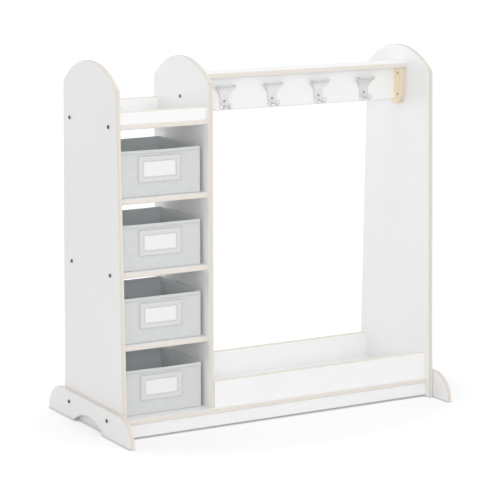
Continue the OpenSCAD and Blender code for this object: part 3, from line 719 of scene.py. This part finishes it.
def loft(name, rings, joined=False):
    """Skin rings of points into a closed mesh with a flat layout in metres.

    The ends are capped, or joined to each other where the rings go round a frame."""
    count = len(rings[0])
    around = distances(rings[len(rings) // 2])
    rungs = distances([r[0] for r in rings], closed=joined)
    work = bmesh.new()
    cloth = work.loops.layers.uv.new("cloth")
    rows = [[work.verts.new(p) for p in r] for r in rings]
    pairs = len(rings) if joined else len(rings) - 1
    for i in range(pairs):
        lower, upper = rows[i], rows[(i + 1) % len(rings)]
        for j in range(count):
            j2 = (j + 1) % count
            face = work.faces.new((lower[j], lower[j2], upper[j2], upper[j]))
            spots = ((j, i), (j + 1, i), (j + 1, i + 1), (j, i + 1))
            for corner, (u, v) in zip(face.loops, spots):
                corner[cloth].uv = (around[u], rungs[v])
    if not joined:
        for row in (rows[0][::-1], rows[-1]):
            face = work.faces.new(row)
            for corner in face.loops:
                corner[cloth].uv = corner.vert.co.xy
    return stand_mesh(name, work, math.radians(50))


# %% How the cloth moves
BELLY, PULL, RIPPLE = 0.9, 1.3, 0.55    # greatest movements of a wall, in millimetres
SAG, UNEVEN = 0.9, 0.7                  # the same for the rim


def give(k, side, share, height):
    """Outward movement of a bin's wall, in metres; height is 0 at the base and 1 at the rim."""
    free = 1 - share * share
    belly = BELLY * free * math.sin(math.pi * height)
    pull = -PULL * free * height ** 3
    ripple = noise.noise(Vector((share * 1.3 + 3.1 * side, height * 1.6, 7.7 * k)))
    return (belly + pull + RIPPLE * ripple * (0.25 + 0.75 * height) * free) * MM


def rim_drop(k, side, share):
    """How far the rim sags between its corners."""
    free = 1 - share * share
    uneven = noise.noise(Vector((share * 1.1 + 5.3 * side, 0.4, 3.3 * k)))
    return (SAG + UNEVEN * uneven) * free * MM


OUTWARD = ((0, -1), (1, 0), (0, 1), (-1, 0))


def walls(k, middle, half_w, half_d, corner, profile, height):
    """Rings of a bin along a profile of (inset, height) points in millimetres."""
    rings = []
    for inset, up in profile:
        inset, up = inset * MM, up * MM
        rounding = max(corner - inset, 0.8 * MM)
        rise = min(max(up / height, 0.0), 1.0)
        made = []
        for x, y, side, share in ring(half_w - inset, half_d - inset, rounding):
            out, drop = give(k, side, share, rise), rim_drop(k, side, share) * rise ** 4
            made.append((middle.x + x + OUTWARD[side][0] * out,
                         middle.y + y + OUTWARD[side][1] * out, middle.z + up - drop))
        rings.append(made)
    return rings


# %% [markdown]
# Stitches are modelled too. Each is a short thread that dives into the cloth at both ends,
# so one small spindle per stitch is enough. They sit slightly sunk in their line.

# %% Helper for stitches
STITCH, STITCH_GAP = 3.0 * MM, 0.9 * MM
FINE_THREAD, BOLD_THREAD = 0.42 * MM, 0.62 * MM


def spindle(work, thread, start, end, out):
    """One stitch: a six-sided spindle of some thread from start to end."""
    way = (end - start).normalized()
    side = way.cross(out).normalized()
    spokes = [math.cos(a) * side + math.sin(a) * out for a in (math.pi * n / 3 for n in range(6))]
    rows = []
    for share, girth in ((0.0, 0.45), (0.15, 0.9), (0.5, 1.0), (0.85, 0.9), (1.0, 0.45)):
        centre = start.lerp(end, share) + out * thread * (0.35 * math.sin(math.pi * share) - 0.15)
        rows.append([work.verts.new(centre + thread * girth * spoke) for spoke in spokes])
    for lower, upper in zip(rows, rows[1:]):
        for n in range(6):
            work.faces.new((lower[n], lower[(n + 1) % 6], upper[(n + 1) % 6], upper[n]))
    work.faces.new(rows[0][::-1])
    work.faces.new(rows[-1])


def sew(name, lines):
    """Stitches along lines of (thread, points); each point comes with its outward direction."""
    work = bmesh.new()
    cloth = work.loops.layers.uv.new("cloth")
    count = 0
    for thread, line in lines:
        points = [point for point, out in line]
        runs = distances([tuple(p) for p in points], closed=False)
        at, here = 0.0, 0
        while at + STITCH < runs[-1]:
            ends = []
            for spot in (at, at + STITCH):
                while here + 2 < len(runs) and runs[here + 1] < spot:
                    here += 1
                span = runs[here + 1] - runs[here]
                ends.append(points[here].lerp(points[here + 1], (spot - runs[here]) / span))
            spindle(work, thread, ends[0], ends[1], line[here][1])
            at += STITCH + STITCH_GAP
            count += 1
    for face in work.faces:
        for corner in face.loops:
            corner[cloth].uv = (corner.vert.co.x + corner.vert.co.y, corner.vert.co.z)
    return stand_mesh(name, work), count


# %% Sew the four bins
CORNER = 4.5 * MM
HEM = 10.8              # depth of the hem in millimetres, like the profiles below


def sew_bin(k):
    """Cover, lining and base pad of one bin; gives what the front's pieces need."""
    body = f"bin_{k}"
    low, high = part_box(body + "_body")
    middle = Vector(((low.x + high.x) / 2, (low.y + high.y) / 2, low.z))
    half_w, half_d = (high.x - low.x) / 2, (high.y - low.y) / 2
    height = high.z - low.z
    top = height / MM
    # profiles of (inset, height) in millimetres
    outside = [(5, 0.0), (1.4, 0.1), (0.4, 0.8), (0.05, 2.2)]
    outside += [(0.05, up) for up in (8, 20, 35, 50, 65, 80, 95, 107)]
    outside += [(0.05, top - HEM - 0.8), (-0.25, top - HEM), (-0.3, top - 6), (-0.25, top - 2)]
    over = [(0.1, top - 0.8), (0.8, top - 0.15), (1.6, top), (2.5, top - 0.3), (3.1, top - 1.2)]
    inside = [(3.2, top - 3), (3.2, top - 14), (3.2, 60), (3.2, 20), (3.4, 4), (6, 3.2)]
    profile = outside + over + inside
    rings = walls(k, middle, half_w, half_d, CORNER, profile, height)
    shell = loft(body + "_cover", rings)
    settle(shell, linen_finish, body, "linen", body + "_body")

    lined = [(4.5, 3.3), (3.35, 4.2), (3.2, 20), (3.2, 60), (3.2, top - 14), (3.15, top - 3.2),
             (3.5, top - 2.3), (4.0, top - 2.5), (4.25, top - 3.4), (4.25, top - 14),
             (4.25, 60), (4.4, 20), (4.9, 6.5), (6.5, 4.4)]
    rings = walls(k, middle, half_w, half_d, CORNER, lined, height)
    lining = loft(body + "_lining_cloth", rings)
    settle(lining, lining_finish, body, "lining", body + "_lining")

    pad_low, pad_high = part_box(body + "_insert")
    thick = (pad_high.z - pad_low.z) / MM
    rise = (pad_low.z - low.z) / MM
    pad_profile = [(2, 0.1), (0.5, 0.3), (0.0, 1.2), (0.1, thick - 0.8), (0.7, thick - 0.1),
                   (2.5, thick), (30, thick + 0.2)]
    pad_rings = []
    for inset, up in pad_profile:
        half_x = (pad_high.x - pad_low.x) / 2 - inset * MM
        half_y = (pad_high.y - pad_low.y) / 2 - inset * MM
        pad_rings.append([(middle.x + x, middle.y + y, low.z + (rise + up) * MM)
                          for x, y, side, share in ring(half_x, half_y, max(3 - inset, 0.8) * MM)])
    pad = loft(body + "_base_pad", pad_rings)
    settle(pad, lining_finish, body, "lining", body + "_insert")
    return body, middle, half_w, half_d, height


# %% [markdown]
# The label pocket is a patch with a window. Its cut edges are folded under, so it is thicker
# at its rim and round its window, and a seam runs round both. The card lies behind the
# window.

# %% Sew the pocket, the card and the seams
CARD_LAP = 4 * MM                       # how far the card reaches behind the window's edge
RIM_SEAM, WINDOW_SEAM, HEM_SEAM = 1.6 * MM, 2.6 * MM, 1.6 * MM      # away from their edges
ON_PATCH, ON_HEM = 1.12 * MM, 0.28 * MM                             # out from the wall
SEAM_STEPS = 24


def dress_front(k, body, middle, half_w, half_d, height):
    """Label pocket, card and seams of one bin; gives the number of stitches."""
    pocket_low, pocket_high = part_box(body + "_label_pocket")
    card_low, card_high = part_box(body + "_card")
    centre_z = (card_low.z + card_high.z) / 2 - middle.z
    half_pw = (pocket_high.x - pocket_low.x) / 2
    half_ph = (pocket_high.z - pocket_low.z) / 2
    half_cw, half_ch = (card_high.x - card_low.x) / 2, (card_high.z - card_low.z) / 2
    half_ww, half_wh = half_cw - CARD_LAP, half_ch - CARD_LAP

    def on_front(x, up, out):
        """A point on the cloth's front, up from the card's middle and out by some distance."""
        z = centre_z + up
        move = give(k, 0, x / (half_w - CORNER), z / height) + out
        return Vector((middle.x + x, middle.y - half_d - move, middle.z + z))

    def patch_ring(share, inset, out):
        """A ring between the pocket's rim (share 0) and its window (share 1)."""
        half_x = half_pw + share * (half_ww - half_pw) - inset
        half_z = half_ph + share * (half_wh - half_ph) - inset
        rounding = (1.5 if share < 0.5 else 0.6) * MM
        return [on_front(x, y, out) for x, y, side, s in ring(half_x, half_z, rounding)]

    # (0 for the rim or 1 for the window, inset, height over the cloth), in millimetres
    skin = [(0, 1.7, -0.2), (0, 1.7, 0.5), (0, 0.5, 0.9), (0, -0.1, 1.3), (0, -0.1, 1.9),
            (0, 0.2, 2.2), (0, 0.7, 2.2), (0, 1.1, 1.8), (0, 1.6, 1.1), (0, 2.1, 1.6),
            (0, 3.4, 1.8), (0, 6.0, 1.4), (1, -5.0, 1.2), (1, -3.4, 1.3), (1, -2.6, 1.05),
            (1, -1.8, 1.4), (1, -0.7, 1.45), (1, -0.15, 1.2), (1, 0.0, 0.95), (1, -0.3, 0.75),
            (1, -4.6, 0.72), (1, -5.2, -0.2)]
    rings = [patch_ring(share, inset * MM, out * MM) for share, inset, out in skin]
    pocket = loft(body + "_pocket_patch", rings, joined=True)
    settle(pocket, pocket_finish, body, "linen", body + "_label_pocket")

    card_rings = []
    for inset, out in ((0.0, 0.05), (0.0, 0.5), (0.12, 0.62), (6.0, 0.62)):
        outline = ring(half_cw - inset * MM, half_ch - inset * MM, 1 * MM)
        card_rings.append([on_front(x, y, out * MM) for x, y, side, s in outline])
    card = loft(body + "_label_card", card_rings)
    settle(card, card_finish, body, "card", body + "_card")

    front = Vector((0, -1, 0))

    def seam_round(half_x, half_z):
        """A seam round a rectangle on the pocket."""
        corners = [(-half_x, half_z), (-half_x, -half_z), (half_x, -half_z), (half_x, half_z),
                   (-half_x, half_z)]
        line = []
        for (x1, z1), (x2, z2) in zip(corners, corners[1:]):
            line += [(x1 + (x2 - x1) * n / SEAM_STEPS, z1 + (z2 - z1) * n / SEAM_STEPS)
                     for n in range(SEAM_STEPS)]
        line.append(corners[-1])
        return [(on_front(x, z, ON_PATCH), front) for x, z in line]

    hem_z = height - HEM * MM + HEM_SEAM
    hem = []
    rise = hem_z / height
    for x, y, side, share in ring(half_w + ON_HEM, half_d + ON_HEM, CORNER):
        out = give(k, side, share, rise)
        drop = rim_drop(k, side, share) * rise ** 4
        way = Vector((*OUTWARD[side], 0))
        spot = Vector((middle.x + x, middle.y + y, middle.z + hem_z - drop))
        hem.append((spot + way * out, way))
    hem.append(hem[0])
    lines = [(BOLD_THREAD, seam_round(half_pw - RIM_SEAM, half_ph - RIM_SEAM)),
             (FINE_THREAD, seam_round(half_ww + WINDOW_SEAM, half_wh + WINDOW_SEAM)),
             (FINE_THREAD, hem)]
    stitches, count = sew(body + "_stitches", lines)
    settle(stitches, thread_finish, body, "linen")
    return count


for k in (1, 2, 3, 4):
    facts = sew_bin(k)
    print(facts[0], "has", dress_front(k, *facts), "stitches")

# %% [markdown]
# ## Floor and light
# The picture is a catalogue cut-out: a white floor that fades into white, and only a breath
# of shadow. The floor is lit like everything else, but for the camera most of its brightness
# is given, so that it stays white and still takes a faint shadow. More is given further out,
# where the lamps don't reach. Most of the light comes from the sky, which is brightest behind
# the unit, weaker in front, and weakest above. Its strengths were matched to the picture, and
# what comes from behind is held low enough to keep the boards' back faces off pure white. A
# brighter back would match the cubbies better and lose those faces. A large lamp at the front
# left looks into the cubbies over the bins' rims, one behind the open back does the same, and
# one overhead lights the tops of the boards.

# %% Floor
# The dark line where a piece meets the floor is painted shadow on the floor's given white.
CONTACT = 14.0 * MM                      # reach of the dark line where a piece meets the floor
GIVEN_FROM_TO = (0.62, 1.0)              # metres from the middle over which more is given
GIVEN_SHARES = (0.55, 0.72)              # the share near the unit, and further out
HALF_FLOOR = 30.0


def grey(level):
    """A neutral colour."""
    return (level, level, level, 1.0)


def seen_directly(tree):
    """1 for the camera's rays, also through glass or by way of a mirror; 0 for light's own."""
    path = put(tree, "LightPath")
    return calc(tree, "MAXIMUM", path.outputs["Is Camera Ray"],
                calc(tree, "MAXIMUM", path.outputs["Is Glossy Ray"],
                     path.outputs["Is Transmission Ray"]))


def studio_floor():
    """A diffuse floor giving the camera most of its white, with painted shadow at contacts."""
    made = bpy.data.materials.new("studio floor")
    made.use_nodes = True
    tree = made.node_tree
    tree.nodes.clear()
    place = put(tree, "TexCoord").outputs["Object"]
    grain = remap(tree, speckle(tree, place, 3.0), 0.3, 0.7, 0.80, 0.82)
    oval = put(tree, "VectorMath", {0: place, 1: (1.0, 1.5, 1.0)}, operation="MULTIPLY").outputs[0]
    away = put(tree, "VectorMath", {0: oval}, operation="LENGTH").outputs["Value"]
    bounce = put(tree, "BsdfDiffuse", {"Color": neutral(tree, grain)}).outputs[0]
    shadowed = put(tree, "BsdfDiffuse", {"Color": grey(0.45)}).outputs[0]
    share = remap(tree, away, *GIVEN_FROM_TO, *GIVEN_SHARES)
    # Painted contact shadow: the white given to the camera is dimmed where pieces close by hide
    # the sky.
    near = {"Distance": CONTACT}
    open_sky = put(tree, "AmbientOcclusion", near, samples=16).outputs["AO"]
    painted_contact_shadow = remap(tree, open_sky, 0.45, 0.9, 0.45, 1.0)
    strength = calc(tree, "MULTIPLY", share, painted_contact_shadow)
    given = put(tree, "Emission", {"Color": grey(1.0), "Strength": strength}).outputs[0]
    bright = put(tree, "AddShader", {0: shadowed, 1: given}).outputs[0]
    both = put(tree, "MixShader", {0: seen_directly(tree), 1: bounce, 2: bright}).outputs[0]
    put(tree, "OutputMaterial", {"Surface": both})
    return made


floor_corners = [(HALF_FLOOR * x, HALF_FLOOR * y, 0)
                 for x, y in ((-1, -1), (1, -1), (1, 1), (-1, 1))]
floor_mesh = bpy.data.meshes.new("floor")
floor_mesh.from_pydata(floor_corners, [], [(0, 1, 2, 3)])
floor_mesh.materials.append(studio_floor())
floor = stand("floor", floor_mesh)
print("floor:", 2 * HALF_FLOOR, "m square")


# %% Sky and lamps
BEHIND, BEFORE, ABOVE, AROUND = 0.84, 0.66, 0.17, 0.35      # strengths of the sky
world = bpy.data.worlds.new("studio")
bpy.context.scene.world = world
world.use_nodes = True
sky = world.node_tree
sky.nodes.clear()
way = put(sky, "SeparateXYZ", {0: put(sky, "TexCoord").outputs["Generated"]})
lit = 0.0
for side, sign, strength in ((Y, 1.0, BEHIND), (Y, -1.0, BEFORE), (Z, 1.0, ABOVE)):
    towards = calc(sky, "MAXIMUM", calc(sky, "MULTIPLY", way.outputs[side], sign), 0.0)
    lit = calc(sky, "MULTIPLY_ADD", towards, strength, lit)
lit = calc(sky, "ADD", lit, AROUND)
level = put(sky, "Mix", {0: seen_directly(sky), 2: lit, 3: 1.0}).outputs[0]
glow = put(sky, "Background", {"Color": grey(1.0), "Strength": level}).outputs[0]
put(sky, "OutputWorld", {"Surface": glow})


def softbox(name, place, aim, size, watts):
    """A rectangular lamp that faces a point."""
    data = bpy.data.lights.new(name, "AREA")
    data.shape, data.size, data.size_y, data.energy = "RECTANGLE", size[0], size[1], watts
    lamp = stand(name, data)
    lamp.location = place
    lamp.rotation_euler = (Vector(aim) - Vector(place)).to_track_quat("-Z", "Y").to_euler()


softbox("overhead softbox", (0.0, -0.1, 3.6), (0.0, 0.0, 0.0), (1.4, 1.0), 16.0)
softbox("softbox at the front left", (-1.95, -4.16, 1.55), (-0.1, 0.0, 0.55), (1.5, 1.5), 47.0)
softbox("softbox behind the bins", (-0.4, 2.4, 0.85), (-0.35, 0.0, 0.6), (1.2, 0.9), 8.0)
